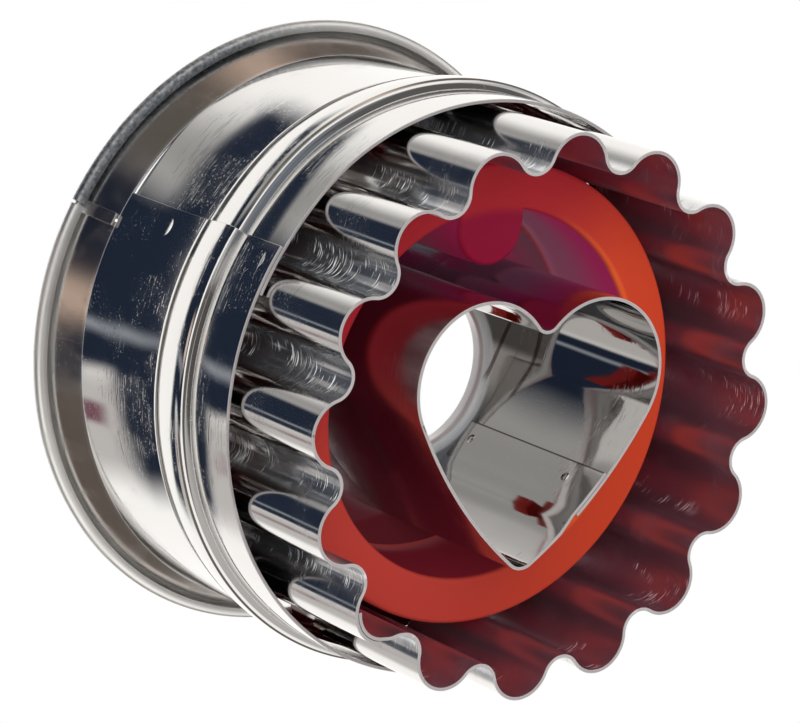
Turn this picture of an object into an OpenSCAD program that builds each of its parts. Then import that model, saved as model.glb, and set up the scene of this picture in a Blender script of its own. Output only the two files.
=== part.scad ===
// Linzer cookie cutter: a heart inside a fluted ring, both bent from tinplate strip, in a rolled casing with a
// sprung plastic ejector. Millimetres. Z = 0 is the plane of both cutting edges, and +Z runs to the grip rim.
// The origin lies on the axis of the fluted ring, and +Y points to the cleft of the heart.

/* [Tinplate] */
// Thickness of the sheet that the casing and both cutters are bent from
sheet = 0.3; // [0.2:0.05:0.35]
// Depth of both cutting strips, from the cutting edge to the bridge
cutter_h = 19; // [17:0.5:23]
// Overlap where the two ends of a bent strip are joined
strip_lap = 4.5; // [3:0.5:5]

/* [Fluted ring] */
// Number of flutes
flutes = 16; // [14:1:18]
// Radius of the crests, to the middle of the sheet
crest_r = 25; // [24:0.5:27]
// Depth of the flutes
flute_depth = 3; // [2:0.25:3.5]
// Rounding of each crest, to the middle of the sheet
crest_round = 3; // [2.6:0.1:3.2]
// Direction of the crest that carries the lap, in flutes from the one at +Y
lap_flute = 10; // [0:1:13]

/* [Heart] */
// Sideways offset of the heart and the tongue from the axis
heart_x = 1.4; // [0:0.1:1.6]
// Radius of each lobe
lobe_r = 7; // [6:0.25:7.5]
// Distance of each lobe's centre from the middle of the heart
lobe_x = 6.2; // [5.6:0.1:6.5]
// Height of the lobes' centres above the axis
lobe_y = 3.6; // [2.5:0.1:4]
// Depth of the tip's centre below the axis
tip_y = 11.3; // [9:0.1:12]
// Rounding of the tip
tip_r = 1.8; // [1:0.1:3]
// Radius of the bulging sides
side_r = 40; // [25:1:80]
// Rounding at the bottom of the cleft
cleft_r = 1.3; // [0.8:0.1:2]
// Distance from the left lobe down the side to the inner end of the strip
heart_seam = 6.7; // [3:0.1:9]

/* [Casing] */
// Space between the crests and the band of the casing
band_gap = 0.55; // [0.55:0.05:1]
// Height of the casing's front lip
lip_z = 11.1; // [8:0.1:12]
// Height of the top of the rolled rim
casing_h = 38.7; // [37.5:0.1:42]
// Height of the crease where the band ends and the flare begins
crease_z = 34.2; // [33:0.1:35.5]
// How far the rolled rim stands out from the band
rim_out = 2.6; // [2:0.1:3.5]
// Radius of the roll of the rim
roll_r = 0.7; // [0.5:0.05:0.9]
// Angle that the roll has turned back to, from straight out
roll_end = -115; // [-125:5:-60]
// How far the rolled bead stands out from the band
bead_h = 0.8; // [0.7:0.05:1]
// Half the height of the bead
bead_half = 2.6; // [2.2:0.1:3]
// Direction of the seam of the band
seam_angle = 31.4; // [25:0.1:33]
// Direction of the joint of the rolled rim
rim_joint_angle = 25; // [0:1:30]
// Width of the slit at the joint of the rim
rim_slit = 0.15; // [0.1:0.05:0.4]
// Number of spot welds that hold the fluted ring
welds = 4; // [2:2:4]
// Radius of a spot weld
weld_r = 1.1; // [0.8:0.1:1.3]
// Height of the spot welds above the lip
weld_up = 1.5; // [1.3:0.1:2.5]
// Depth of the dent at a spot weld
dent = 0.15; // [0.05:0.05:0.15]
// Radius of the electrode that left the dent
dent_r = 5; // [4:0.5:8]

/* [Bridge] */
// Thickness of the bridge
bridge_t = 0.4; // [0.3:0.05:0.5]
// Radius of the finger hole
finger_r = 7.45; // [6.5:0.05:9]
// Depth of the collar round the finger hole, with the plate
collar_h = 1.8; // [1.4:0.1:3]
// Bend between the plate and the collar, to the middle of the sheet
collar_bend = 0.6; // [0.4:0.05:0.8]
// Number of ears that carry the bridge
ears = 3; // [3:1:3]
// Width of an ear
ear_w = 12; // [9:0.5:13]
// Direction of the first ear
ear_angle = 80; // [75:1:85]
// Space between the tip of an ear and the groove inside the bead
ear_gap = 0.15; // [0.1:0.05:0.4]

/* [Ejector] */
// Space between the bore of the ejector and the outermost lobe of the heart
heart_gap = 1.14; // [0.6:0.02:1.4]
// Wall of the sleeve and its legs
sleeve_t = 1.4; // [1.2:0.1:1.6]
// Depth of the ejector's face behind the cutting edge, which is also its stroke
face_depth = 9.1; // [8:0.1:9.3]
// Space between the ejector and the valleys of the fluted ring
valley_gap = 1.05; // [0.5:0.05:1.3]
// Thickness of the face
face_t = 1.6; // [1.2:0.1:2.5]
// Rounding of the face's edges
face_edge = 0.4; // [0.2:0.1:0.6]
// Width of the tongue
tongue_w = 6.9; // [5:0.1:8]
// Distance from the axis to the round end of the tongue
tongue_y = 11.65; // [11:0.05:13]
// Space round the bridge inside the sleeve
disc_gap = 0.45; // [0.3:0.05:0.8]
// Space on each side of an ear in its slot
slot_gap = 0.4; // [0.3:0.05:0.8]
// Space between the sleeve and the bridge at rest
stop_gap = 0.2; // [0.1:0.05:0.4]

/* [Push ring] */
// Width of the tenon at the end of each leg
tenon_w = 10; // [7:0.5:12]
// Running space round a tenon in its socket
tenon_gap = 0.1; // [0.05:0.05:0.2]
// Wall round a socket
socket_wall = 1.4; // [1.2:0.1:1.8]
// Wall at each side of a socket
lug_side = 2.5; // [1.5:0.1:3]
// Thickness of the lugs
lug_t = 2.4; // [2:0.1:3]
// Thickness of the ring
push_t = 3; // [2.4:0.1:4]
// Width of the ring
push_w = 4.6; // [4:0.1:5]
// Space between the ring and the casing
push_gap = 0.7; // [0.65:0.05:1.5]
// Depth of the ring below the rim
push_recess = 3.4; // [2:0.1:3.4]
// Rounding of the ring's rear edges
push_edge = 0.6; // [0.3:0.1:1]

/* [Return spring] */
// Diameter of the wire
wire_d = 1; // [0.8:0.1:1.1]
// Number of turns
turns = 3.25; // [2.75:0.25:3.5]
// Part of a turn that lies flat at each end
seat_turns = 0.25; // [0.25:0.05:0.4]
// Space between the legs and the spring
spring_gap = 0.9; // [0.5:0.1:1]
// Space between the spring and the lugs above it
spring_play = 0.1; // [0.05:0.05:0.2]
// Direction in which the wire starts
wire_start = 66; // [62:1:75]

/* [Hidden] */
$fn = 96;
// How far a cut runs past the face that it opens
cut = 1;
// Largest distance between a chord and its arc, and the longest chord, on a bent sheet
chord_sag = 0.015;
chord = 1;
// Space between the two layers of a strip's lap
lap_gap = 0.06;
// Width of the groove that is left outside at the seam of the band, where the inner layer comes up
seam_groove = 0.3;
// Length over which a strip moves inwards by one sheet before it passes under its other end
tuck_run = 2;
// Rings of the wire in one turn, and sides of each ring
rings = 24;
sides = 6;

// The valleys of the flutes, and the casing outside the crests
valley_r = crest_r - flute_depth;
crest_out = crest_r + sheet / 2;
band_in = crest_out + band_gap;
band_mid = band_in + sheet / 2;
band_out = band_in + sheet;
bead_z = cutter_h + bridge_t / 2;
rim_z = crease_z - sheet;
roll_mid = roll_r - sheet / 2;
roll_centre = [band_out + rim_out - roll_r, casing_h - roll_r];
lap_angle = degrees(strip_lap, band_mid);
groove_angle = degrees(seam_groove, band_mid);
weld_z = lip_z + weld_up;

// The bridge behind the cutters and the ejector round it
bore_r = norm([heart_x + lobe_x, lobe_y]) + lobe_r + sheet / 2 + heart_gap;
bridge_z = cutter_h + bridge_t;
disc_r = bore_r - disc_gap;
ear_r = band_in + bead_h - ear_gap;
sleeve_r = bore_r + sleeve_t;
face_r = valley_r - sheet / 2 - valley_gap;
stop_z = cutter_h - stop_gap;
slot_w = ear_w + 2 * slot_gap;

// The push ring on the legs and the spring between it and the bridge
lug_z = casing_h - push_recess - push_t;
leg_h = lug_z - stop_z;
leg_angle = ear_angle + 180 / ears;
lug_w = tenon_w + 2 * tenon_gap + 2 * lug_side;
lug_r = bore_r - tenon_gap - socket_wall;
spring_r = sleeve_r + spring_gap + wire_d / 2;
push_r = band_in - push_gap;
push_bore_r = push_r - push_w;

function polar(r, a) = [r * cos(a), r * sin(a)];
function degrees(length, r) = length / r * 180 / PI;
function direction(v) = atan2(v[1], v[0]);

// An arc is [centre, radius, first angle, last angle, 1 if it bulges outwards or -1 if inwards]
function arc_length(arc) = abs(arc[3] - arc[2]) * PI / 180 * arc[1];
function arc_steps(arc) =
    ceil(max(abs(arc[3] - arc[2]) / (2 * acos(1 - chord_sag / arc[1])), arc_length(arc) / chord));
function arc_points(arc) =
    let (steps = arc_steps(arc))
    [for (j = [0 : steps]) arc[0] + polar(arc[1], arc[2] + (arc[3] - arc[2]) * j / steps)];

// Outline between two lines that run at the distances a and b beside an open path, with mitred corners
function path_normal(p, q) = [q[1] - p[1], p[0] - q[0]] / norm(q - p);
function mitre(path, i) =
    let (last = len(path) - 1,
         before = path_normal(path[max(i - 1, 0)], path[max(i, 1)]),
         after = path_normal(path[min(i, last - 1)], path[min(i + 1, last)]))
    (before + after) / (1 + before * after);
function outline_between(path, a, b) =
    let (last = len(path) - 1)
    concat([for (i = [0 : last]) path[i] + mitre(path, i) * a],
           [for (i = [last : -1 : 0]) path[i] + mitre(path, i) * b]);
function sheet_outline(path, t) = outline_between(path, t / 2, -t / 2);

// Path of a strip bent into a closed outline. The arcs start at the strip's inner end and run on past it by the
// lap. The inner end is tucked in by one sheet, and the strip comes back out to its outline after the lap.
function run_before(arcs, i) = i == 0 ? 0 : run_before(arcs, i - 1) + arc_length(arcs[i - 1]);
function tuck(run) = min(max((strip_lap + sheet + tuck_run - run) / tuck_run, 0), 1);
function tucked_points(arc, run, last) =
    let (steps = arc_steps(arc))
    [for (j = [0 : last ? steps : steps - 1])
        let (r = arc[1] - arc[4] * (sheet + lap_gap) * tuck(run + arc_length(arc) * j / steps))
        arc[0] + polar(r, arc[2] + (arc[3] - arc[2]) * j / steps)];
function strip_path(arcs) =
    [for (i = [0 : len(arcs) - 1]) each tucked_points(arcs[i], run_before(arcs, i), i == len(arcs) - 1)];

module strip(arcs) {
    linear_extrude(cutter_h)
        polygon(sheet_outline(strip_path(arcs), sheet));
}

// Flutes: crest and valley arcs that touch each other, in the order of the strip, clockwise from its inner end
pitch = 360 / flutes;
crest_centre_r = crest_r - crest_round;
valley_round =
    (crest_round ^ 2 - crest_centre_r ^ 2 - valley_r ^ 2 + 2 * valley_r * crest_centre_r * cos(pitch / 2))
    / (2 * (valley_r - crest_centre_r * cos(pitch / 2) - crest_round));
valley_centre_r = valley_r + valley_round;
crest_half = direction(polar(valley_centre_r, pitch / 2) - [crest_centre_r, 0]);
valley_half = crest_half - pitch / 2;
flute_lap_half = degrees(strip_lap / 2, crest_round);

function crest_arc(a, first, last) = [polar(crest_centre_r, a), crest_round, a + first, a + last, 1];
function valley_arc(a) =
    [polar(valley_centre_r, a), valley_round, a + 180 - valley_half, a + 180 + valley_half, -1];
function fluted_arcs() =
    let (a = 90 + pitch * lap_flute)
    concat([crest_arc(a, flute_lap_half, -crest_half)],
           [for (k = [1 : flutes]) each [
               valley_arc(a - pitch * (k - 0.5)),
               crest_arc(a - pitch * k, crest_half, k == flutes ? -flute_lap_half : -crest_half)]]);

// Heart: two lobes, two bulging sides that touch lobe and tip, and the rounded cleft and tip
lobe_centre = [lobe_x, lobe_y];
tip_centre = [0, -tip_y];
cleft_centre = [0, lobe_y + sqrt((lobe_r + cleft_r) ^ 2 - lobe_x ^ 2)];
side_centre = meeting_point(lobe_centre, side_r - lobe_r, tip_centre, side_r - tip_r);
side_top = direction(lobe_centre - side_centre);
side_low = direction(tip_centre - side_centre);
cleft_angle = direction(cleft_centre - lobe_centre);

// Point at distance ra from a and rb from b, on the right when looking from a to b
function meeting_point(a, ra, b, rb) =
    let (d = norm(b - a),
         u = (b - a) / d,
         along = (ra ^ 2 - rb ^ 2 + d ^ 2) / (2 * d))
    a + along * u + sqrt(ra ^ 2 - along ^ 2) * [u[1], -u[0]];
function mirrored(arc) = [[-arc[0][0], arc[0][1]], arc[1], 180 - arc[3], 180 - arc[2], arc[4]];
function heart_arcs() =
    let (right_side = [side_centre, side_r, side_low, side_top, 1],
         right_lobe = [lobe_centre, lobe_r, side_top, cleft_angle, 1],
         left_side = mirrored(right_side),
         inner_end = left_side[2] + degrees(heart_seam, side_r),
         outer_end = inner_end + degrees(strip_lap, side_r))
    [[left_side[0], side_r, inner_end, left_side[3], 1],
     [tip_centre, tip_r, 180 - side_low, 360 + side_low, 1],
     right_side,
     right_lobe,
     [cleft_centre, cleft_r, cleft_angle - 180, -cleft_angle, -1],
     mirrored(right_lobe),
     [left_side[0], side_r, left_side[2], outer_end, 1]];

// Casing: the band with its bead, and the flare that runs on into the rolled rim
bead_arc_r = (bead_half ^ 2 + bead_h ^ 2) / (2 * bead_h);
bead_turn = asin(bead_half / bead_arc_r);
bead_arc = [[band_mid + bead_h - bead_arc_r, bead_z], bead_arc_r, -bead_turn, bead_turn, 1];
crease = [band_mid, crease_z];
flare_angle = direction(roll_centre - crease) + asin(roll_mid / norm(roll_centre - crease));
roll_arc = [roll_centre, roll_mid, flare_angle + 90, roll_end, 1];
band_path = concat([[band_mid, lip_z]], arc_points(bead_arc), [[band_mid, rim_z]]);
casing_path = concat(band_path, [crease], arc_points(roll_arc));

module band_sector(from, to, a, b) {
    rotate([0, 0, from])
        rotate_extrude(angle = to - from)
            polygon(outline_between(band_path, a, b));
}

module casing() {
    weld_angles = [for (k = [0 : welds - 1]) 90 + pitch + 360 * k / welds];
    groove = seam_angle - groove_angle;
    color("silver")
        difference() {
            union() {
                rotate_extrude()
                    polygon(sheet_outline(casing_path, sheet));
                // The band's inner layer, which starts in the groove at the seam and ends after the lap
                band_sector(groove, seam_angle + lap_angle, 0, -3 * sheet / 2);
                for (a = weld_angles)
                    rotate([0, 0, a])
                        translate([crest_out, 0, weld_z])
                            rotate([0, 90, 0])
                                cylinder(h = band_mid - crest_out, r = weld_r);
            }
            band_sector(groove, seam_angle, sheet, 0);
            for (a = weld_angles)
                rotate([0, 0, a])
                    translate([band_out - dent + dent_r, 0, weld_z])
                        sphere(r = dent_r);
            // Slit where the two ends of the rolled rim meet
            rotate([0, 0, rim_joint_angle])
                translate([band_in - cut, -rim_slit / 2, crease_z])
                    cube([sheet + rim_out + 2 * cut, rim_slit, casing_h - crease_z + cut]);
        }
}

module fluted_cutter() {
    color("gainsboro")
        strip(fluted_arcs());
}

module heart_cutter() {
    color("gainsboro")
        translate([heart_x, 0, 0])
            strip(heart_arcs());
}

// A bar of the given width that runs out from the axis at an angle
module bar(a, width, from, to) {
    rotate(a)
        translate([from, -width / 2])
            square([to - from, width]);
}

module ring(outer, inner) {
    difference() {
        circle(r = outer);
        circle(r = inner);
    }
}

// Bridge: a disc with a drawn collar round the finger hole, and ears that reach into the bead
module bridge() {
    bend_centre = [finger_r + bridge_t / 2 + collar_bend, bead_z + collar_bend];
    collar_path = concat([[finger_r + bridge_t / 2, cutter_h + collar_h]],
                         arc_points([bend_centre, collar_bend, 180, 270, 1]),
                         [[disc_r, bead_z]]);
    color("lightgray") {
        rotate_extrude()
            polygon(sheet_outline(collar_path, bridge_t));
        translate([0, 0, cutter_h])
            linear_extrude(bridge_t)
                for (k = [0 : ears - 1])
                    intersection() {
                        circle(r = ear_r);
                        bar(ear_angle + 360 * k / ears, ear_w, (finger_r + disc_r) / 2 + collar_bend, ear_r);
                    }
    }
}

// Ejector: face, sleeve, tongue, and three legs between the ears that end in tenons
module ejector() {
    corner = face_edge;
    inner_edge = [[bore_r + corner, face_depth + corner], corner, 180, 270, 1];
    outer_edge = [[face_r - corner, face_depth + corner], corner, 270, 360, 1];
    color("crimson") {
        rotate_extrude()
            polygon(concat([[bore_r, stop_z]],
                           arc_points(inner_edge),
                           arc_points(outer_edge),
                           [[face_r, face_depth + face_t],
                            [sleeve_r, face_depth + face_t],
                            [sleeve_r, stop_z]]));
        translate([0, 0, face_depth])
            linear_extrude(stop_z - face_depth)
                tongue_outline();
        translate([0, 0, stop_z]) {
            linear_extrude(leg_h)
                difference() {
                    ring(sleeve_r, bore_r);
                    for (k = [0 : ears - 1])
                        bar(ear_angle + 360 * k / ears, slot_w, 0, sleeve_r + cut);
                }
            translate([0, 0, leg_h])
                linear_extrude(lug_t)
                    intersection() {
                        ring(sleeve_r, bore_r);
                        tenon_bars(tenon_w);
                    }
        }
    }
}

module tongue_outline() {
    tongue_r = tongue_w / 2;
    translate([heart_x, tongue_y + tongue_r])
        circle(r = tongue_r);
    intersection() {
        translate([heart_x - tongue_r, tongue_y + tongue_r])
            square([tongue_w, bore_r]);
        circle(r = bore_r + sleeve_t / 2);
    }
}

module tenon_bars(width) {
    for (k = [0 : ears - 1])
        bar(leg_angle + 360 * k / ears, width, 0, sleeve_r + cut);
}

// Push ring: a ring for the fingers, with a lug inwards to the tenon of each leg
module push_ring() {
    inner_edge = [[push_bore_r + push_edge, lug_z + push_t - push_edge], push_edge, 180, 90, 1];
    outer_edge = [[push_r - push_edge, lug_z + push_t - push_edge], push_edge, 90, 0, 1];
    color("firebrick") {
        rotate_extrude()
            polygon(concat([[push_bore_r, lug_z]],
                           arc_points(inner_edge),
                           arc_points(outer_edge),
                           [[push_r, lug_z]]));
        translate([0, 0, lug_z])
            linear_extrude(lug_t)
                difference() {
                    intersection() {
                        ring((push_bore_r + push_r) / 2, lug_r);
                        lug_bars();
                    }
                    intersection() {
                        ring(sleeve_r + tenon_gap, bore_r - tenon_gap);
                        tenon_bars(tenon_w + 2 * tenon_gap);
                    }
                }
    }
}

module lug_bars() {
    for (k = [0 : ears - 1])
        bar(leg_angle + 360 * k / ears, lug_w, 0, push_r);
}

// Return spring: one wire, flat on the ears at one end and under the lugs at the other, its ends cut square
wire_flat = wire_d / 2 * cos(180 / sides);
wire_low = bridge_z + wire_flat;
wire_high = lug_z - spring_play - wire_flat;
ring_count = rings * turns;

function coil_height(t) = min(max((t - seat_turns) / (turns - 2 * seat_turns), 0), 1);
function coil_point(t) =
    let (p = polar(spring_r, wire_start + 360 * t))
    [p[0], p[1], wire_low + (wire_high - wire_low) * coil_height(t)];
function coil_tangent(t) =
    let (d = coil_point(min(t + 1 / rings, turns)) - coil_point(max(t - 1 / rings, 0)))
    d / norm(d);
function end_tangent(t) = [-sin(wire_start + 360 * t), cos(wire_start + 360 * t), 0];

// A frame is [centre of the wire, direction away from the axis, direction of the wire]
function coil_frame(t) =
    [coil_point(t),
     [cos(wire_start + 360 * t), sin(wire_start + 360 * t), 0],
     t == 0 || t == turns ? end_tangent(t) : coil_tangent(t)];
function straight_frame(t, way) =
    let (f = coil_frame(t))
    [f[0] + way * wire_d * f[2], f[1], f[2]];
coil_frames =
    concat([straight_frame(0, -1)],
           [for (i = [0 : ring_count]) coil_frame(turns * i / ring_count)],
           [straight_frame(turns, 1)]);

function wire_ring(frame) =
    [for (s = [0 : sides - 1])
        frame[0] + wire_d / 2 * (cos(360 * s / sides) * frame[1]
                                 + sin(360 * s / sides) * cross(frame[1], frame[2]))];

module return_spring() {
    last = len(coil_frames) - 1;
    walls = [for (i = [0 : last - 1], s = [0 : sides - 1])
        let (here = i * sides, next = here + sides, t = (s + 1) % sides)
        each [[here + s, here + t, next + t], [here + s, next + t, next + s]]];
    color("lightsteelblue")
        polyhedron(points = [for (frame = coil_frames) each wire_ring(frame)],
                   faces = concat([[for (s = [sides - 1 : -1 : 0]) s]],
                                  walls,
                                  [[for (s = [0 : sides - 1]) last * sides + s]]),
                   convexity = 6);
}

// Least space between two stretches of the wire that lie at least half a turn apart
wire_gap = min([for (i = [0 : len(coil_frames) - 1], j = [i + rings / 2 : 1 : len(coil_frames) - 1])
    norm(coil_frames[i][0] - coil_frames[j][0])]) - wire_d;
echo(wire_gap = wire_gap);

casing();
fluted_cutter();
heart_cutter();
bridge();
ejector();
push_ring();
return_spring();
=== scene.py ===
# Linzer cookie cutter over its CAD frame: tinplate casing, fluted ring and heart, and a red sprung ejector
import math

import bmesh
import bpy
from mathutils import Matrix, Vector


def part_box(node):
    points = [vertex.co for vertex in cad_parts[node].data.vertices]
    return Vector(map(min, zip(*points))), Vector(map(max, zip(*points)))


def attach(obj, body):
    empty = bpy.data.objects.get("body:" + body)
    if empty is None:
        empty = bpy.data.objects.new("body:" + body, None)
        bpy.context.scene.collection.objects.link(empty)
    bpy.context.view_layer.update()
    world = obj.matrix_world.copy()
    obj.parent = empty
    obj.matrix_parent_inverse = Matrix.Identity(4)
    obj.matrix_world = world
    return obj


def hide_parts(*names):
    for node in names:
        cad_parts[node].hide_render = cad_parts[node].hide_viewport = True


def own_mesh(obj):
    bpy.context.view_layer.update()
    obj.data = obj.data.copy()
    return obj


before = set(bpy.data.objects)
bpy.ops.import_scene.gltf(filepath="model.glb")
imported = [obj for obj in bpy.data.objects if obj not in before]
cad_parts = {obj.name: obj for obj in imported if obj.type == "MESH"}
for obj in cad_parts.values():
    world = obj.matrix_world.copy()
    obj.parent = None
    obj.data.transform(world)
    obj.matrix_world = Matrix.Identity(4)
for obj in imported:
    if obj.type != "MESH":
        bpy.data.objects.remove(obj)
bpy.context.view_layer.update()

MM = 0.001
LOW, HIGH = 0, 1

# Heights and reach that the frame gives, in millimetres
lip_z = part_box("casing")[LOW].z / MM
casing_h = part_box("casing")[HIGH].z / MM
cutter_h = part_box("fluted_cutter")[HIGH].z / MM
rim_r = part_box("casing")[HIGH].x / MM
face_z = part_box("ejector")[LOW].z / MM
tenon_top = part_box("ejector")[HIGH].z / MM
face_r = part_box("ejector")[HIGH].x / MM
collar_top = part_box("bridge")[HIGH].z / MM
push_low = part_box("push_ring")[LOW].z / MM
spring_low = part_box("return_spring")[LOW].z / MM
spring_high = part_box("return_spring")[HIGH].z / MM

# Facets round the axis, the angles up to which faces are shaded as one, the angle past which an edge is
# rounded, and the play allowed in a selection
round_steps = 240
smooth_angle = 40
moulded_smooth_angle = 30
sharp_angle = 60
play = 0.01

# The sheet and the lap of the bent strips
sheet = 0.3
strip_lap = 4.5
lap_gap = 0.06
lap_steps = 8
tuck = sheet + lap_gap
tuck_run = 2
edge_round = 0.06

# Fluted ring
flutes = 16
crest_r = 25
valley_r = 22
crest_round = 3
lap_flute = 10

# Heart: its place, then the x, y and radius of a lobe and of the tip
heart_x = 1.4
lobe = (6.2, 3.6, 7)
tip = (0, -11.3, 1.8)
side_r = 40
cleft_r = 1.3
heart_seam = 6.7
heart_weld = (-6.1, -6.6)
heart_weld_heights = (4, 17.6)

# Casing
band_r = 25.85
bead_h = 0.8
bead_front = 17.0
bead_round = 0.5
bead_turn = 80
bead_back = 22.2
waist = 0.15
neck_z = 13.4
neck_turn = 4.7
neck_gap = 0.1
crease_z = 34.2
hold = 0.15
roll_r = 0.55
roll_end = -115
seam_angle = 31.4
seam_slack = 0.4
band_tuck_angle = 25
band_tuck_steps = 25
joint_angle = 25
joint_slit = 0.25
backing_steps = 4

# Weld dimples of the band, each by its azimuth and height
band_welds = ((27.6, 13.2), (27.4, 27.5), (27.8, 33.2), (112.5, 12.6), (202.5, 12.6), (292.5, 12.6))

# Bridge
bridge_t = 0.4
disc_r = 16.25
ear_r = 26.35
ear_angles = (80, 200, 320)
ear_half = 21.1
finger_r = 7.45
collar_bend = 0.6
collar_lean = 6

# Ejector
bore_r = 16.7
sleeve_t = 1.4
face_t = 1.6
face_edge = 0.4
stop_z = 18.8
tenon_h = 2.4
leg_angles = (20, 140, 260)
leg_half = 37.5
tenon_half = 16.5
leg_edge = 0.12
tongue_w = 6.9
tongue_y = 11.65
tongue_sunk = 0.75

# Return spring
wire_d = 1
wire_gap = 0.9
turns = 3.25
turn_steps = 48
seat_turns = 0.25
wire_start = 66


def polar(radius, angle):
    return Vector((radius * math.cos(math.radians(angle)), radius * math.sin(math.radians(angle))))


def direction(v):
    return math.degrees(math.atan2(v[1], v[0]))


def degrees(length, radius):
    return math.degrees(length / radius)


class Arc:
    """Part of a circle that a strip follows, bulging outwards (1) or inwards (-1)."""

    def __init__(self, centre, radius, first, last, bulge=1):
        self.centre = Vector(centre)
        self.radius = radius
        self.first = first
        self.last = last
        self.bulge = bulge

    def length(self):
        return math.radians(abs(self.last - self.first)) * self.radius

    def steps(self, sag=0.003, chord=1.0):
        turn = 2 * math.degrees(math.acos(1 - sag / self.radius))
        return math.ceil(max(abs(self.last - self.first) / turn, self.length() / chord))

    def point(self, share, inwards=0.0):
        angle = self.first + (self.last - self.first) * share
        return self.centre + polar(self.radius - self.bulge * inwards, angle)

    def points(self):
        steps = self.steps()
        return [self.point(i / steps) for i in range(steps + 1)]

    def mirrored(self):
        centre = (-self.centre.x, self.centre.y)
        return Arc(centre, self.radius, 180 - self.last, 180 - self.first, self.bulge)


def tucked(arcs):
    """The points of a strip whose first end lies inside its last end, under the lap."""
    points = []
    run = 0
    for arc in arcs:
        steps = arc.steps()
        for i in range(steps + (arc is arcs[-1])):
            place = run + arc.length() * i / steps
            share = min(max((strip_lap + sheet + tuck_run - place) / tuck_run, 0), 1)
            points.append(arc.point(i / steps, tuck * share))
        run += arc.length()
    return points


# Modelling by hand: a corner is drawn out into a wire, and the wire into a sheet

def deselect():
    if bpy.context.object and bpy.context.object.mode != "OBJECT":
        bpy.ops.object.mode_set(mode="OBJECT")
    bpy.ops.object.select_all(action="DESELECT")


def pick(piece):
    deselect()
    piece.select_set(True)
    bpy.context.view_layer.objects.active = piece


def draw_wire(name, points):
    """A wire in edit mode, drawn by extruding one corner from point to point, all of it selected."""
    deselect()
    bpy.ops.mesh.primitive_plane_add(size=MM)
    piece = bpy.context.object
    piece.name = name
    bpy.ops.object.mode_set(mode="EDIT")
    bpy.ops.mesh.select_mode(type="VERT")
    bpy.ops.mesh.merge(type="CENTER")
    places = [Vector(p) * MM for p in points]
    bpy.ops.transform.translate(value=places[0])
    for here, there in zip(places, places[1:]):
        bpy.ops.mesh.extrude_region_move(TRANSFORM_OT_translate={"value": there - here})
    bpy.ops.mesh.select_all(action="SELECT")
    return piece


def draw_out(move):
    """Extrudes what is selected by a move in millimetres."""
    bpy.ops.mesh.extrude_region_move(TRANSFORM_OT_translate={"value": Vector(move) * MM})


def spin(angle, steps):
    bpy.ops.mesh.spin(steps=steps, angle=math.radians(angle), center=(0, 0, 0), axis=(0, 0, 1))


def merge_doubles():
    bpy.ops.mesh.remove_doubles(threshold=MM * 0.001)


def close_up():
    bpy.ops.mesh.select_all(action="SELECT")
    merge_doubles()
    bpy.ops.mesh.normals_make_consistent(inside=False)


def select_parts(piece, kind, wanted):
    """Selects the corners or faces whose place in millimetres passes a test, and nothing else."""
    bpy.ops.mesh.select_mode(type=kind)
    bpy.ops.mesh.select_all(action="DESELECT")
    shape = bmesh.from_edit_mesh(piece.data)
    for part in shape.verts if kind == "VERT" else shape.faces:
        place = part.co if kind == "VERT" else part.calc_center_median()
        if wanted(place / MM):
            part.select_set(True)
    shape.select_flush_mode()
    bmesh.update_edit_mesh(piece.data)


def near(place, angles, half):
    """Whether a place lies within half an opening of one of these directions."""
    return any(abs((direction(place) - angle + 180) % 360 - 180) < half for angle in angles)


def apply_modifier(piece, kind, **settings):
    modifier = piece.modifiers.new(kind.title(), kind)
    for name, value in settings.items():
        setattr(modifier, name, value)
    bpy.ops.object.modifier_apply(modifier=modifier.name)


def round_edges(piece, radius, segments, **settings):
    apply_modifier(piece, "BEVEL", width=radius * MM, segments=segments, limit_method="ANGLE",
                   angle_limit=math.radians(sharp_angle), **settings)


def shade_smooth(angle):
    bpy.ops.object.shade_smooth_by_angle(angle=math.radians(angle))


def finish_sheet(piece, thickness=sheet):
    """Gives a drawn sheet its thickness on both sides, and its edges a small rounding."""
    close_up()
    bpy.ops.object.mode_set(mode="OBJECT")
    apply_modifier(piece, "SOLIDIFY", thickness=thickness * MM, offset=0, use_even_offset=True,
                   use_quality_normals=True, material_offset=1)
    shade_smooth(smooth_angle)
    round_edges(piece, edge_round, segments=2, harden_normals=True)


def bend_strip(name, arcs, outside, inside):
    """A strip of the cutters' height, bent along a path of arcs, with a finish for each side."""
    piece = draw_wire(name, [point.to_3d() for point in tucked(arcs)])
    draw_out((0, 0, cutter_h))
    piece.data.materials.append(outside)
    piece.data.materials.append(inside)
    finish_sheet(piece)
    return piece


# Cutting rings

def fluted_arcs():
    """Crests and valleys that touch, from the inner end of the lap once round to its outer end."""
    pitch = 360 / flutes
    crest_centre = crest_r - crest_round
    half = math.cos(math.radians(pitch / 2))
    squares = crest_round ** 2 - crest_centre ** 2 - valley_r ** 2
    valley_round = ((squares + 2 * valley_r * crest_centre * half)
                    / (2 * (valley_r - crest_centre * half - crest_round)))
    valley_centre = valley_r + valley_round
    crest_half = direction(polar(valley_centre, pitch / 2) - Vector((crest_centre, 0)))
    valley_half = crest_half - pitch / 2
    lap_half = degrees(strip_lap / 2, crest_round)
    start = 90 + pitch * lap_flute

    def crest(angle, first, last):
        return Arc(polar(crest_centre, angle), crest_round, angle + first, angle + last)

    arcs = [crest(start, lap_half, -crest_half)]
    for flute in range(1, flutes + 1):
        valley = start - pitch * (flute - 0.5)
        arcs.append(Arc(polar(valley_centre, valley), valley_round, valley + 180 - valley_half,
                        valley + 180 + valley_half, -1))
        last = -lap_half if flute == flutes else -crest_half
        arcs.append(crest(start - pitch * flute, crest_half, last))
    return arcs


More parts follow.
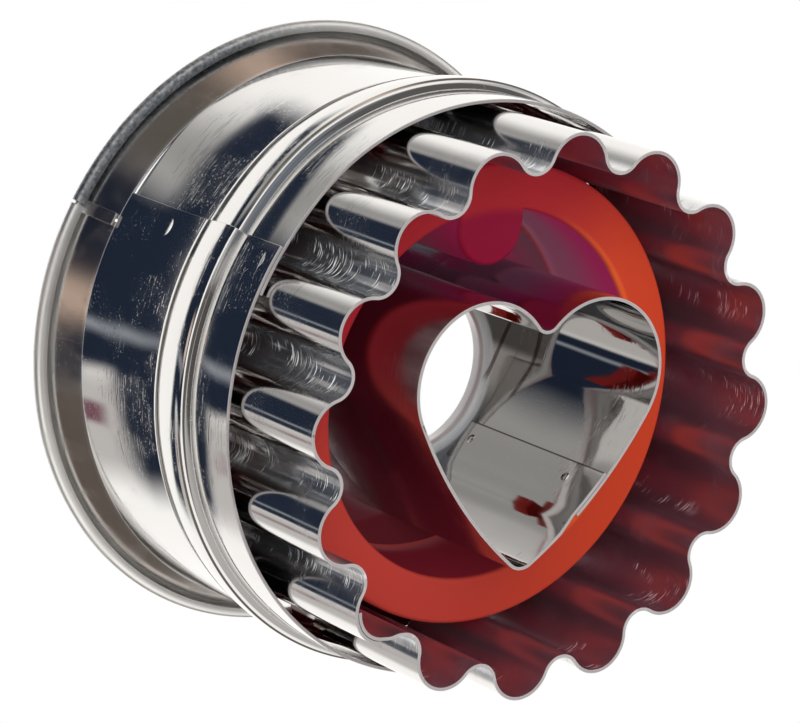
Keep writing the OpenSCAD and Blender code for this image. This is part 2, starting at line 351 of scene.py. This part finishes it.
def meeting_point(a, radius_a, b, radius_b):
    """The point at these distances from a and b, on the right when looking from a to b."""
    span = b - a
    along = (radius_a ** 2 - radius_b ** 2 + span.length ** 2) / (2 * span.length)
    u = span.normalized()
    return a + along * u + math.sqrt(radius_a ** 2 - along ** 2) * Vector((u.y, -u.x))


def heart_arcs():
    """Sides, tip, lobes and cleft that touch, from the inner end of the lap once round to its outer end."""
    lobe_x, lobe_y, lobe_r = lobe
    tip_x, tip_y, tip_r = tip
    lobe_centre = Vector((lobe_x, lobe_y))
    tip_centre = Vector((tip_x, tip_y))
    cleft_centre = Vector((0, lobe_y + math.sqrt((lobe_r + cleft_r) ** 2 - lobe_x ** 2)))
    side_centre = meeting_point(lobe_centre, side_r - lobe_r, tip_centre, side_r - tip_r)
    top = direction(lobe_centre - side_centre)
    low = direction(tip_centre - side_centre)
    cleft = direction(cleft_centre - lobe_centre)
    right_side = Arc(side_centre, side_r, low, top)
    right_lobe = Arc(lobe_centre, lobe_r, top, cleft)
    left_side = right_side.mirrored()
    inner_end = left_side.first + degrees(heart_seam, side_r)
    outer_end = inner_end + degrees(strip_lap, side_r)
    arcs = [Arc(left_side.centre, side_r, inner_end, left_side.last),
            Arc(tip_centre, tip_r, 180 - low, 360 + low),
            right_side,
            right_lobe,
            Arc(cleft_centre, cleft_r, cleft - 180, -cleft, -1),
            right_lobe.mirrored(),
            Arc(left_side.centre, side_r, left_side.first, outer_end)]
    for arc in arcs:
        arc.centre.x += heart_x
    return arcs


# Casing

def band_profile():
    """Middle of the band's sheet as (radius, height), from the lip over bead and waist to the crease."""
    bead_crest = bead_front + bead_round * math.sin(math.radians(bead_turn))
    neck_r = (bead_front - neck_gap - neck_z) / math.sin(math.radians(neck_turn))
    neck = Arc((band_r - neck_r, neck_z), neck_r, 0, neck_turn)
    front = Arc((band_r + bead_h - bead_round, bead_crest), bead_round, -bead_turn, 0)
    drop = bead_back - bead_crest
    back_r = (drop ** 2 + bead_h ** 2) / (2 * bead_h)
    back = Arc((band_r + bead_h - back_r, bead_crest), back_r, 0, math.degrees(math.asin(drop / back_r)))
    half = (crease_z - bead_back) / 2
    waist_r = (half ** 2 + waist ** 2) / (2 * waist)
    turn = math.degrees(math.asin(half / waist_r))
    middle = Arc((band_r - waist + waist_r, bead_back + half), waist_r, 180 + turn, 180 - turn)
    lip = [Vector((band_r, z)) for z in (lip_z, lip_z + hold, neck_z - hold)]
    near_back = middle.point(hold / (2 * half))
    near_crease = middle.point(1 - hold / (2 * half))
    return (lip + neck.points() + front.points() + back.points()[1:] + [near_back] + middle.points()[1:-1]
            + [near_crease, Vector((band_r, crease_z))])


def rim_profile(inwards=0):
    """Middle of the sheet of the flare and the rolled rim, or of a layer inside it."""
    crease = Vector((band_r, crease_z))
    centre = Vector((rim_r - sheet / 2 - roll_r, casing_h - sheet / 2 - roll_r))
    flare = direction(centre - crease) + math.degrees(math.asin(roll_r / (centre - crease).length))
    roll = Arc(centre, roll_r - inwards, flare + 90, roll_end).points()
    crease = crease - polar(inwards, flare + 90)
    flat = [crease.lerp(roll[0], share) for share in (0.05, 0.95)]
    return flat + roll if inwards else [crease] + flat + roll


def at_azimuth(profile, angle):
    return [(*polar(p[0], angle), p[1]) for p in profile]


def build_band():
    """The band goes once round and tucks in under its own seam."""
    band = draw_wire("casing_band", at_azimuth(band_profile(), seam_angle))
    spin(360 - band_tuck_angle - seam_slack, round_steps)
    depths = [tuck * (1 - math.cos(math.pi * i / band_tuck_steps)) / 2 for i in range(band_tuck_steps + 1)]
    for before, after in zip(depths, depths[1:]):
        spin(band_tuck_angle / band_tuck_steps, 1)
        shrink = (band_r - after) / (band_r - before)
        bpy.ops.transform.resize(value=(shrink, shrink, 1), center_override=(0, 0, 0))
    spin(degrees(strip_lap, band_r) + seam_slack, lap_steps)
    finish_sheet(band)
    return band


def build_rim():
    """The flare and the rolled rim, whose two ends meet in a slit."""
    slit_angle = degrees(joint_slit, band_r)
    rim = draw_wire("casing_rim", at_azimuth(rim_profile(), joint_angle - slit_angle / 2))
    spin(360 - slit_angle, round_steps)
    finish_sheet(rim)
    return rim


def build_backing():
    """The short strip inside the rim that shows through its slit."""
    backing_angle = degrees(strip_lap, band_r) / 4
    backing = draw_wire("rim_backing", at_azimuth(rim_profile(tuck), joint_angle + backing_angle / 2))
    spin(backing_angle, backing_steps)
    finish_sheet(backing)
    return backing


# Bridge, ejector and spring

def build_bridge():
    """A disc with a collar drawn round the finger hole and three ears, all of one sheet."""
    plate_z = cutter_h + bridge_t / 2
    bend_centre = (finger_r + bridge_t / 2 + collar_bend, plate_z + collar_bend)
    bend = Arc(bend_centre, collar_bend, 180 - collar_lean, 270)
    collar_h = collar_top - bend.point(0).y
    collar_end = bend.point(0) + Vector((math.tan(math.radians(collar_lean)), 1)) * collar_h
    profile = [collar_end] + bend.points() + [Vector((disc_r, plate_z))]
    bridge = draw_wire("bridge_plate", at_azimuth(profile, ear_angles[0]))
    spin(360, round_steps)
    close_up()
    for angle in ear_angles:
        select_parts(bridge, "VERT", lambda p: p.xy.length > disc_r - play and near(p, (angle,), ear_half))
        draw_out((*polar(ear_r - disc_r, angle), 0))
    finish_sheet(bridge, bridge_t)
    return bridge


def build_tongue():
    """The round-ended tongue inside the ejector, with a rounded edge, its root inside the sleeve."""
    half = tongue_w / 2
    root_r = bore_r + sleeve_t * tongue_sunk
    end = Arc((heart_x, tongue_y + half), half, 180, 360)
    right = Vector((heart_x + half, math.sqrt(root_r ** 2 - (heart_x + half) ** 2)))
    left = Vector((heart_x - half, math.sqrt(root_r ** 2 - (heart_x - half) ** 2)))
    root = Arc((0, 0), root_r, direction(right), direction(left))
    outline = end.points() + root.points() + [end.point(0)]
    tongue = draw_wire("tongue", [(*p, face_z) for p in outline])
    merge_doubles()
    bpy.ops.mesh.edge_face_add()
    draw_out((0, 0, stop_z - face_z))
    close_up()
    bpy.ops.object.mode_set(mode="OBJECT")
    round_edges(tongue, face_edge, segments=5)
    return tongue


def build_ejector():
    """Face and sleeve are spun as one, the legs are drawn up from the sleeve, and the tongue is fused on."""
    sleeve_r = bore_r + sleeve_t
    inner_edge = Arc((bore_r + face_edge, face_z + face_edge), face_edge, 180, 270)
    outer_edge = Arc((face_r - face_edge, face_z + face_edge), face_edge, 270, 360)
    sleeve_end = [Vector((bore_r, stop_z))]
    profile = (sleeve_end + inner_edge.points() + outer_edge.points()
               + [Vector((face_r, face_z + face_t)), Vector((sleeve_r, face_z + face_t)),
                  Vector((sleeve_r, stop_z))] + sleeve_end)
    ejector = draw_wire("ejector_ring", at_azimuth(profile, leg_angles[0]))
    spin(360, round_steps)
    close_up()
    leg_top = tenon_top - tenon_h
    select_parts(ejector, "FACE", lambda p: p.z > stop_z - play and near(p, leg_angles, leg_half))
    draw_out((0, 0, leg_top - stop_z))
    select_parts(ejector, "FACE", lambda p: p.z > leg_top - play and near(p, leg_angles, tenon_half))
    draw_out((0, 0, tenon_h))
    bpy.ops.object.mode_set(mode="OBJECT")
    round_edges(ejector, leg_edge, segments=2)
    tongue = build_tongue()
    pick(ejector)
    apply_modifier(ejector, "BOOLEAN", operation="UNION", solver="EXACT", object=tongue)
    bpy.data.objects.remove(tongue)
    shade_smooth(moulded_smooth_angle)
    apply_modifier(ejector, "WEIGHTED_NORMAL", keep_sharp=True)
    return ejector


def build_spring():
    """One wire wound round the ejector, from the ears to the push ring, with a flat seat at each end."""
    middle_r = bore_r + sleeve_t + wire_gap + wire_d / 2
    low = spring_low + wire_d / 2
    high = spring_high - wire_d / 2
    points = []
    for i in range(round(turn_steps * turns) + 1):
        turn = i / turn_steps
        rise = min(max((turn - seat_turns) / (turns - 2 * seat_turns), 0), 1)
        points.append((*polar(middle_r, wire_start + 360 * turn), low + (high - low) * rise))
    draw_wire("spring_wire", points)
    bpy.ops.object.mode_set(mode="OBJECT")
    bpy.ops.object.convert(target="CURVE")
    curve = bpy.context.object.data
    curve.bevel_depth = wire_d / 2 * MM
    curve.bevel_resolution = 3
    curve.use_fill_caps = True
    bpy.ops.object.convert(target="MESH")
    bpy.ops.object.mode_set(mode="EDIT")
    close_up()
    bpy.ops.object.mode_set(mode="OBJECT")
    shade_smooth(smooth_angle)
    return bpy.context.object


# Materials

def grey(value):
    return value, value, value, 1


# Colours of the tinplate, and of what lies on it, among them painted shade, light, glints and reflections
bright_tin = (0.74, 0.73, 0.72, 1)
blue_tin = (0.40, 0.42, 0.46, 1)
grey_tin = (0.57, 0.56, 0.55, 1)
warm_tin = (0.61, 0.585, 0.57, 1)
# Painted red reflection of the ejector, and painted light on the seam's side of the fluted ring
red_reflection_tin = (0.44, 0.27, 0.34, 1)
painted_light_cream = (0.98, 0.92, 0.86, 1)
# Painted shade of the fluted ring's valleys
painted_valley_shade = (0.24, 0.27, 0.33, 1)
cut_tin = (0.62, 0.58, 0.58, 1)
haze = (0.97, 0.96, 0.94, 1)
# Painted dark reflection on one side of the rim's roll
dark_reflection_grey = (0.20, 0.225, 0.26, 1)
tarnish_brown = (0.45, 0.37, 0.32, 1)
# Painted glints, a painted reflection on the collar, and a painted red reflection on the plate
painted_glint_white = grey(0.95)
painted_glint_pink = (0.75, 0.60, 0.62, 1)
painted_reflection_white = grey(0.92)
red_reflection_wine = (0.32, 0.055, 0.08, 1)
line_brown = (0.10, 0.05, 0.05, 1)
# Painted shadow along the heart's lap
painted_lap_shadow = (0.09, 0.05, 0.055, 1)

# Colours of the plastic with its painted light and shade, and of its painted glow
brick = (0.35, 0.034, 0.025, 1)
orange = (0.47, 0.046, 0.018, 1)
crimson = (0.30, 0.016, 0.022, 1)
amber = (0.62, 0.10, 0.02, 1)
magenta = (0.20, 0.006, 0.027, 1)
maroon = (0.17, 0.012, 0.02, 1)
claret = (0.24, 0.02, 0.06, 1)
maroon_glow = (0.16, 0.01, 0.022, 1)
mauve_glow = (0.35, 0.12, 0.2, 1)
magenta_glow = (0.6, 0.03, 0.17, 1)
ruby_glow = (0.48, 0.03, 0.055, 1)
# Scarlet where the rear is seen, and painted shade of the red faces hidden in the cavity
scarlet = (0.42, 0.022, 0.018, 1)
painted_shade_red = (0.075, 0.006, 0.008, 1)
ember = (0.03, 0.001, 0.001, 1)


class Shade:
    """A socket in a node tree. Python's operators on it add Math nodes."""

    def __init__(self, tree, socket=None):
        self.tree = tree
        self.socket = socket

    def node(self, kind, settings=None, inputs=None, output=0):
        """Adds a node, with its settings first and then the values or links of its sockets."""
        node = self.tree.nodes.new(kind)
        for name, value in (settings or {}).items():
            setattr(node, name, value)
        for key, value in (inputs or {}).items():
            if isinstance(value, Shade):
                self.tree.links.new(value.socket, node.inputs[key])
            else:
                node.inputs[key].default_value = value
        return Shade(self.tree, node.outputs[output])

    def math(self, operation, *values):
        return self.node("ShaderNodeMath", {"operation": operation}, dict(enumerate(values)))

    def __add__(self, other):
        return self.math("ADD", self, other)

    __radd__ = __add__

    def __sub__(self, other):
        return self.math("SUBTRACT", self, other)

    def __rsub__(self, other):
        return self.math("SUBTRACT", other, self)

    def __mul__(self, other):
        return self.math("MULTIPLY", self, other)

    __rmul__ = __mul__

    def __truediv__(self, other):
        return self.math("DIVIDE", self, other)

    def step(self, low, high):
        """Rises smoothly from 0 at low to 1 at high, or falls where low is above high."""
        return self.node("ShaderNodeMapRange", {"interpolation_type": "SMOOTHSTEP"},
                         {"Value": self, "From Min": low, "From Max": high})

    def between(self, low, high, soft):
        """1 between low and high and 0 outside, with soft borders."""
        return self.step(low - soft, low + soft) * self.step(high + soft, high - soft)

    def noise(self, scale, detail):
        """Noise pattern read at this place."""
        return self.node("ShaderNodeTexNoise", inputs={"Vector": self, "Scale": scale, "Detail": detail})

    def stretched(self, scale):
        return self.node("ShaderNodeMapping", inputs={"Vector": self, "Scale": scale})

    def distance(self, point):
        return self.node("ShaderNodeVectorMath", {"operation": "DISTANCE"}, {0: self, 1: point}, 1)

    def mix(self, first, second):
        """Colour between the first and the second, by this socket."""
        return self.node("ShaderNodeMix", {"data_type": "RGBA"}, {0: self, 6: first, 7: second}, 2)

    def parts(self):
        split = self.node("ShaderNodeSeparateXYZ", inputs={0: self}).socket.node
        return [Shade(self.tree, socket) for socket in split.outputs]


class Place:
    """Where a point of a piece lies, as a vector in metres and as coordinates in millimetres."""

    def __init__(self, shade):
        self.point = shade.node("ShaderNodeTexCoord", output="Object")
        self.x, self.y, self.z = [part / MM for part in self.point.parts()]
        self.square = self.x * self.x + self.y * self.y

    def radius(self, first, last):
        """Rises from 0 at the first radius to 1 at the last, or falls where the last is the smaller."""
        return self.square.step(first ** 2, last ** 2)

    def along(self, x, y):
        """How far the point lies along a direction across the axis."""
        return self.x * x + self.y * y


def new_material(name):
    material = bpy.data.materials.new(name)
    material.use_nodes = True
    tree = material.node_tree
    return material, Shade(tree), tree.nodes["Principled BSDF"]


def set_sockets(bsdf, sockets):
    for name, value in sockets.items():
        if isinstance(value, Shade):
            value.tree.links.new(value.socket, bsdf.inputs[name])
        else:
            bsdf.inputs[name].default_value = value


class Tinplate:
    """A tinplate finish in the making: soft waves, dull patches, dust and scratches. The wire has it too."""

    dust_gain = 1.08

    def __init__(self, name, rough, tint=bright_tin, metal=1.0, scratches=0.0, specks=0.03, dull_patches=0.0,
                 grooved=False):
        self.material, self.shade, self.bsdf = new_material(name)
        self.place = Place(self.shade)
        point = self.place.point
        groove = self.place.radius(crest_r - 0.7, valley_r + 0.8) if grooved else 0
        self.wave = point.noise(110.0, 1.0)
        patches = point.noise(230.0, 2.0).step(0.47, 0.60)
        dust = point.noise(4800.0, 0.0).step(0.70, 0.78) * (0.2 + 0.8 * patches)
        strokes = point.stretched((420, 420, 4200)).noise(1.0, 1.0).step(0.55, 0.72) * patches
        strokes = strokes * (groove * (1 - scratches) + scratches)
        self.relief = self.wave + dust * specks + strokes * (0.16 + groove * 0.3)
        self.colour = dust.mix(tint, (*(channel * self.dust_gain for channel in tint[:3]), 1))
        self.rough = strokes * 0.2 + patches * dull_patches + groove * 0.10 + rough
        self.metal = metal

    def paint(self, where, colour, rough=0.0, metal=0.0):
        """Gives a masked part another colour, and adds to its roughness and its metal."""
        self.colour = where.mix(self.colour, colour)
        if rough:
            self.rough = self.rough + where * rough
        if metal:
            self.metal = self.metal + where * metal

    def dent(self, centre, radius, depth):
        """Sinks a round dimple into the relief."""
        share = self.place.point.distance(Vector(centre) * MM) / (radius * MM)
        self.relief = self.relief - self.shade.math("MAXIMUM", 1 - share * share, 0.0) * depth

    def roller_marks(self, marks, patch_scale, patches):
        """Short marks that the rollers left, in patches. Both rise between two levels of their noise."""
        strokes = self.place.point.stretched((620, 620, 8400)).noise(1.0, 1.0).step(*marks)
        return strokes * self.place.point.noise(patch_scale, 1.0).step(*patches)

    def finished(self, edge_z=None):
        """The material, with a duller cut edge where the piece has one in front."""
        if edge_z is not None:
            cut = self.place.z.step(edge_z + 0.11, edge_z + 0.04)
            self.paint(cut, cut_tin, rough=0.25, metal=-0.35)
        normal = self.shade.node("ShaderNodeBump",
                                 inputs={"Height": self.relief, "Strength": 1.0, "Distance": 0.09 * MM})
        set_sockets(self.bsdf, {"Base Color": self.colour, "Metallic": self.metal, "Roughness": self.rough,
                                "Normal": normal})
        return self.material


def band_finish():
    """Clean tinplate with the dimples of the welds."""
    tin = Tinplate("band_tinplate", rough=0.06, scratches=0.15, dull_patches=0.03)
    for azimuth, z in band_welds:
        tin.dent((*polar(band_r, azimuth), z), radius=1.0, depth=0.4)
    return tin.finished(lip_z)


def rim_finish():
    """A hazy roll with a painted dark reflection, in grey speckles, on one side, over a tarnished flare."""
    tin = Tinplate("rim_tinplate", rough=0.16, specks=0.06, dull_patches=0.08)
    point = tin.place.point
    roll = tin.place.radius(27.0, 27.4)
    azimuth = tin.shade.math("ARCTAN2", tin.place.y, tin.place.x) * (180 / math.pi)
    side = azimuth.step(joint_angle - 1, joint_angle + 1) * azimuth.step(96, 62)
    # Painted dark reflection: grey speckles on the roll from the joint, fading out between 62 and 96 degrees
    painted_dark_reflection = roll * side * (0.1 + point.noise(2600.0, 2.0) * 1.3)
    tarnish = (tin.place.z.between(crease_z + 0.2, casing_h - 1.7, 0.2)
               * (0.35 + point.noise(420.0, 3.0) * 0.4))
    tin.paint(roll, haze, rough=0.26)
    tin.paint(painted_dark_reflection, dark_reflection_grey)
    tin.paint(tarnish, tarnish_brown)
    return tin.finished()


def flute_outside_finish():
    """Bright crests, valleys darkened with painted shade, and painted glints on the short marks that the
    rollers left.
    """
    tin = Tinplate("flute_outside_tinplate", rough=0.10, scratches=0.1, dull_patches=0.03, grooved=True)
    valley = tin.place.radius(crest_r - 1, valley_r + 0.7)
    # Painted shade in the valleys, in patches
    shaded = valley * (0.15 + 0.5 * tin.place.point.noise(190.0, 2.0).step(0.42, 0.58))
    deep = tin.place.radius(crest_r - 1.6, valley_r + 0.6)
    tin.paint(shaded, painted_valley_shade)
    # Painted glints: roller marks deep in the valleys, painted white and less metallic
    glints = tin.roller_marks(marks=(0.59, 0.66), patch_scale=330.0, patches=(0.46, 0.56)) * deep
    tin.paint(glints, painted_glint_white, metal=-0.7)
    tin.metal = tin.metal - valley * 0.07
    return tin.finished(0)


def flute_inside_finish():
    """Dull, scratched tinplate with a rosy tint that is a painted reflection of the red ejector, painted
    glints on its crests, and painted light that makes it paler on the seam's side.
    """
    # The rosy tint is a painted reflection of the red ejector
    tin = Tinplate("flute_inside_tinplate", rough=0.38, tint=red_reflection_tin, metal=0.94, scratches=0.8,
                   dull_patches=0.08)
    crests = tin.place.radius(crest_r - 1.2, crest_r - 0.4)
    # Painted light on the seam's side: paler, smoother and less metallic
    painted_light_side = tin.place.along(0.945, 0.327).step(14, 19)
    # Painted glints on the crests
    glints = tin.roller_marks(marks=(0.60, 0.68), patch_scale=300.0, patches=(0.50, 0.60)) * crests
    tin.paint(glints, painted_glint_pink, metal=-0.5)
    tin.paint(painted_light_side, painted_light_cream, rough=-0.25, metal=-0.7)
    return tin.finished(0)


def heart_outside_finish():
    """Bluish tinplate, a little scratched."""
    tin = Tinplate("heart_outside_tinplate", rough=0.14, tint=blue_tin, scratches=0.2, dull_patches=0.05)
    return tin.finished(0)


def heart_inside_finish():
    """Mirror-bright tinplate with two weld dimples and a dark line of painted shadow where the strip's inner
    end stops.
    """
    tin = Tinplate("heart_inside_tinplate", rough=0.05, tint=grey_tin, scratches=0.1, specks=0.01)
    for z in heart_weld_heights:
        tin.dent((*heart_weld, z), radius=0.6, depth=1.0)
    # Painted shadow of the lap: a thin dark line where the strip's inner end stops
    end = heart_arcs()[0].point(0, tuck)
    x = tin.place.x - end.x
    y = tin.place.y - end.y
    tin.paint((x * x + y * y).step(0.26 ** 2, 0.15 ** 2), painted_lap_shadow)
    return tin.finished(0)


def plate_finish():
    """Tinplate with a painted reflection on the collar, pale and matt, a dark line beside the hole, and a
    painted red reflection of the ejector in front by the tip.
    """
    tin = Tinplate("plate_tinplate", rough=0.07, tint=warm_tin, specks=0.02)
    place = tin.place
    front = place.z.step(cutter_h + 0.15, cutter_h + 0.05)
    # Painted red reflection of the ejector on the plate's front by the tip, less metallic
    painted_red_reflection = place.radius(10, 14) * place.y.step(6, -8) * front * place.radius(disc_r + 0.75, disc_r + 0.05)
    line_x, line_y = 0.92, 0.394
    across = (place.along(line_x, line_y) + tin.wave * 0.8).between(-7.45, -7.00, 0.08)
    along = place.along(line_y, -line_x).between(-7.8, -2.1, 0.6)
    tin.paint(painted_red_reflection, red_reflection_wine, metal=-0.4)
    # Painted reflection on the collar: pale, matt and less metallic
    tin.paint(place.radius(finger_r + 1.25, finger_r + 0.75), painted_reflection_white, rough=0.34, metal=-0.4)
    tin.paint(across * along * 0.75, line_brown)
    return tin.finished()


def red_plastic(name, glow):
    """Clear red plastic with painted light and shade: crimson painted shade, painted orange light at the
    side where the light leaves it, and emission as a painted glow.
    """
    material, shade, bsdf = new_material(name)
    place = Place(shade)
    cloud = place.point.noise(160.0, 2.0)
    # Painted light and shade on the face: orange on the lit side, crimson at the top left, amber along the
    # bore's edge
    lit_side = (place.along(-0.99, 0.13) + cloud * 6).step(-4, 22)
    shaded_left_top = (place.along(0.6, 1) + cloud * 4).step(4, 19)
    lit_right_top = place.along(-1, 1).step(2, 18)
    painted_glow_bore_edge = place.radius(bore_r + 0.65, bore_r + 0.2) * place.x.step(-5, -13) * 0.7
    tongue = place.radius(bore_r + 0.5, bore_r - 0.7) * place.y.step(tongue_y - 1.15, tongue_y - 0.15)
    face = place.z.step(face_z + 0.8, face_z + 0.1)
    rear = place.z.step(cutter_h, cutter_h + 1)
    front = lit_side.mix(brick, orange)
    front = shaded_left_top.mix(front, crimson)
    front = painted_glow_bore_edge.mix(front, amber)
    front = tongue.mix(front, magenta)
    # Painted shade inside: dark maroon, painted lighter at the top right
    inner = lit_right_top.mix(maroon, claret)
    near_face = place.z.step(17, 10)
    outside = place.radius(bore_r + 0.6, bore_r + 1.1)
    # Painted glow inside: maroon, and at the top right magenta near the face and mauve further back; ruby
    # outside the sleeve
    inner_glow = lit_right_top.mix(maroon_glow, near_face.mix(mauve_glow, magenta_glow))
    inner_glow = outside.mix(inner_glow, ruby_glow)
    # Painted shade on faces in the cavity: dark red where hidden, scarlet where seen from behind or in the
    # bore
    seen = place.z.step(push_low + 0.1, push_low + 0.9) + place.radius(bore_r + 0.5, bore_r + 0.2)
    painted_shade_behind = seen.mix(painted_shade_red, scarlet)
    red = rear.mix(face.mix(inner, front), painted_shade_behind)
    # Emission is a painted glow; the rear gets only a faint ember
    painted_glow_colour = rear.mix(face.mix(inner_glow, front), ember)
    normal = shade.node("ShaderNodeBump", inputs={"Height": cloud, "Strength": 0.3, "Distance": 0.1 * MM})
    set_sockets(bsdf, {"Base Color": red, "Roughness": 0.6 - face * 0.3, "Specular IOR Level": 0.07,
                       "Normal": normal, "Emission Color": painted_glow_colour, "Emission Strength": glow})
    return material


def dress(piece, body, material=None, nodes=()):
    """Sets what a piece rides on and takes its finish from, and which nodes it stands for."""
    if material:
        piece.data.materials.clear()
        piece.data.materials.append(material)
    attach(piece, body)
    if nodes:
        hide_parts(*nodes)


def redress(node, material):
    """Gives a CAD node that stays a better material."""
    node_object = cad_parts[node]
    for slot in node_object.material_slots:
        slot.material = material
    if not node_object.material_slots:
        node_object.data.materials.append(material)


# Studio

def build_world():
    """White to the camera, pale grey to matt surfaces, and soft panels to the polished tinplate."""
    world = bpy.data.worlds.new("studio")
    bpy.context.scene.world = world
    world.use_nodes = True
    tree = world.node_tree
    shade = Shade(tree)
    x, y, z = shade.node("ShaderNodeTexCoord", output="Generated").parts()
    azimuth = shade.math("ARCTAN2", y, x) * (180 / math.pi)
    elevation = shade.math("ARCSINE", z) * (180 / math.pi)

    def panel(across, upwards):
        """Mask of a panel: lowest and highest azimuth and their softness, and the same for elevation."""
        return azimuth.between(*across) * elevation.between(*upwards)

    cream = (0.95, 0.935, 0.91, 1)
    warm_grey = (0.50, 0.48, 0.46, 1)
    umber = (0.13, 0.112, 0.10, 1)
    charcoal = (0.12, 0.115, 0.105, 1)
    navy = (0.012, 0.018, 0.034, 1)
    beige = (0.60, 0.48, 0.40, 1)
    plum = (0.13, 0.03, 0.06, 1)
    ice = (0.8, 0.85, 0.9, 1)
    soot = (0.10, 0.094, 0.09, 1)
    silver = (0.44, 0.43, 0.415, 1)
    slate = (0.17, 0.19, 0.22, 1)
    back_grey = (0.30, 0.30, 0.31, 1)

    side = panel((-75, -27, 10), (-5, 55, 2))
    patch = azimuth.step(-30, -24) * azimuth.step(55, 41) * elevation.between(-16, 60, 2)
    wall = elevation.between(-4, 38, 4) * (1 - patch)
    fade = panel((42, 82, 36), (-20, 55, 2))
    glow = panel((92, 110, 12), (-2, 34, 4)) + panel((-6, 8, 5), (-2, 34, 4))
    strip = panel((-80, 112, 12), (54, 60.5, 1.2))
    spot = panel((-51, -42, 2), (50.4, 52, 0.6))
    streak = panel((-13, -9, 3), (20, 60, 6)) * 0.35
    below = elevation.step(-34, -44)
    lit_below = (azimuth.between(23, 50, 9) + azimuth.between(-140, -64, 10)).mix(soot, silver)
    cool_below = azimuth.between(55, 130, 10) * elevation.step(-36, -46)
    back = (panel((136, 156, 12), (-40, 4, 5)) + panel((-148, -120, 14), (-40, 4, 5))) * 0.8

    studio = cream
    for where, colour in ((side, warm_grey), (wall, umber), (fade, charcoal), (patch, navy), (glow, beige),
                          (strip, navy), (spot, plum), (streak, ice), (below, lit_below),
                          (cool_below, slate), (back, back_grey)):
        studio = where.mix(studio, colour)
    rays = shade.node("ShaderNodeLightPath").socket.node
    is_camera = Shade(tree, rays.outputs["Is Camera Ray"])
    is_glossy = Shade(tree, rays.outputs["Is Glossy Ray"])
    bright = shade.node("ShaderNodeMix",
                        {"data_type": "RGBA", "blend_type": "MULTIPLY", "clamp_result": False},
                        {0: 1.0, 6: studio, 7: grey(1.25)}, 2)
    colour = is_camera.mix(is_glossy.mix(grey(0.75), bright), grey(1))
    tree.links.new(colour.socket, tree.nodes["Background"].inputs["Color"])


def build_floor():
    """A pale floor that only the camera sees, and only from above, as the photograph looks up from below."""
    deselect()
    bpy.ops.mesh.primitive_plane_add(size=4)
    floor = bpy.context.object
    floor.name = "floor"
    material, shade, bsdf = new_material("floor_white")
    set_sockets(bsdf, {"Base Color": grey(0.9), "Roughness": 0.9})
    tree = material.node_tree
    rays = shade.node("ShaderNodeLightPath").socket.node
    back = shade.node("ShaderNodeNewGeometry").socket.node.outputs["Backfacing"]
    seen = Shade(tree, rays.outputs["Is Camera Ray"]) * (1 - Shade(tree, back))
    clear = shade.node("ShaderNodeBsdfTransparent")
    surface = shade.node("ShaderNodeMixShader", inputs={0: seen, 1: clear, 2: Shade(tree, bsdf.outputs[0])})
    tree.links.new(surface.socket, tree.nodes["Material Output"].inputs["Surface"])
    floor.data.materials.append(material)


def build_lamp():
    """One soft lamp in front of the cutting edges, which the tinplate doesn't mirror."""
    lamp = bpy.data.lights.new("soft_lamp", "AREA")
    lamp.size = 0.4
    lamp.energy = 2.0
    place = Vector((0.25, 0.25, -0.35))
    lamp_object = bpy.data.objects.new("soft_lamp", lamp)
    lamp_object.location = place
    lamp_object.rotation_euler = (-place).to_track_quat("-Z", "Y").to_euler()
    lamp_object.visible_glossy = False
    bpy.context.scene.collection.objects.link(lamp_object)


def build_camera():
    """The camera of the photograph, below the plane of the cutting edges, rolled on its side."""
    aim = Vector((0, 0.0001, 0.0218))
    distance = 0.34131
    azimuth = math.radians(19.07)
    elevation = math.radians(-50.56)
    roll = math.radians(68.86)
    away = Vector((math.cos(elevation) * math.cos(azimuth), math.cos(elevation) * math.sin(azimuth),
                   math.sin(elevation)))
    camera = bpy.data.cameras.new("camera")
    camera.lens = 170.2
    camera.sensor_width = 36
    camera.sensor_fit = "HORIZONTAL"
    camera.clip_start = 0.01
    camera_object = bpy.data.objects.new("camera", camera)
    upright = away.to_track_quat("Z", "Y")
    camera_object.rotation_mode = "QUATERNION"
    camera_object.rotation_quaternion = upright @ Matrix.Rotation(-roll, 3, "Z").to_quaternion()
    camera_object.location = aim + away * distance
    bpy.context.scene.collection.objects.link(camera_object)
    bpy.context.scene.camera = camera_object


bpy.context.scene.view_settings.view_transform = "Standard"
build_world()
build_floor()
build_camera()
build_lamp()

rim_tin = rim_finish()
dress(build_band(), "housing", band_finish(), ["casing"])
dress(build_rim(), "housing", rim_tin, ["casing"])
dress(build_backing(), "housing", rim_tin, ["casing"])

fluted_ring = bend_strip("fluted_ring", fluted_arcs(), flute_outside_finish(), flute_inside_finish())
dress(fluted_ring, "housing", nodes=["fluted_cutter"])
heart = bend_strip("heart", heart_arcs(), heart_outside_finish(), heart_inside_finish())
dress(heart, "housing", nodes=["heart_cutter"])
dress(build_bridge(), "housing", plate_finish(), ["bridge"])

ejector_red = red_plastic("clear_red_plastic", glow=0.28)
dress(build_ejector(), "ejector", ejector_red, ["ejector"])
redress("push_ring", red_plastic("push_ring_plastic", glow=0.05))

spring = build_spring()
spring_steel = Tinplate("spring_steel", rough=0.22, specks=0.1).finished()
dress(spring, "housing", spring_steel, ["return_spring"])
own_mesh(spring)
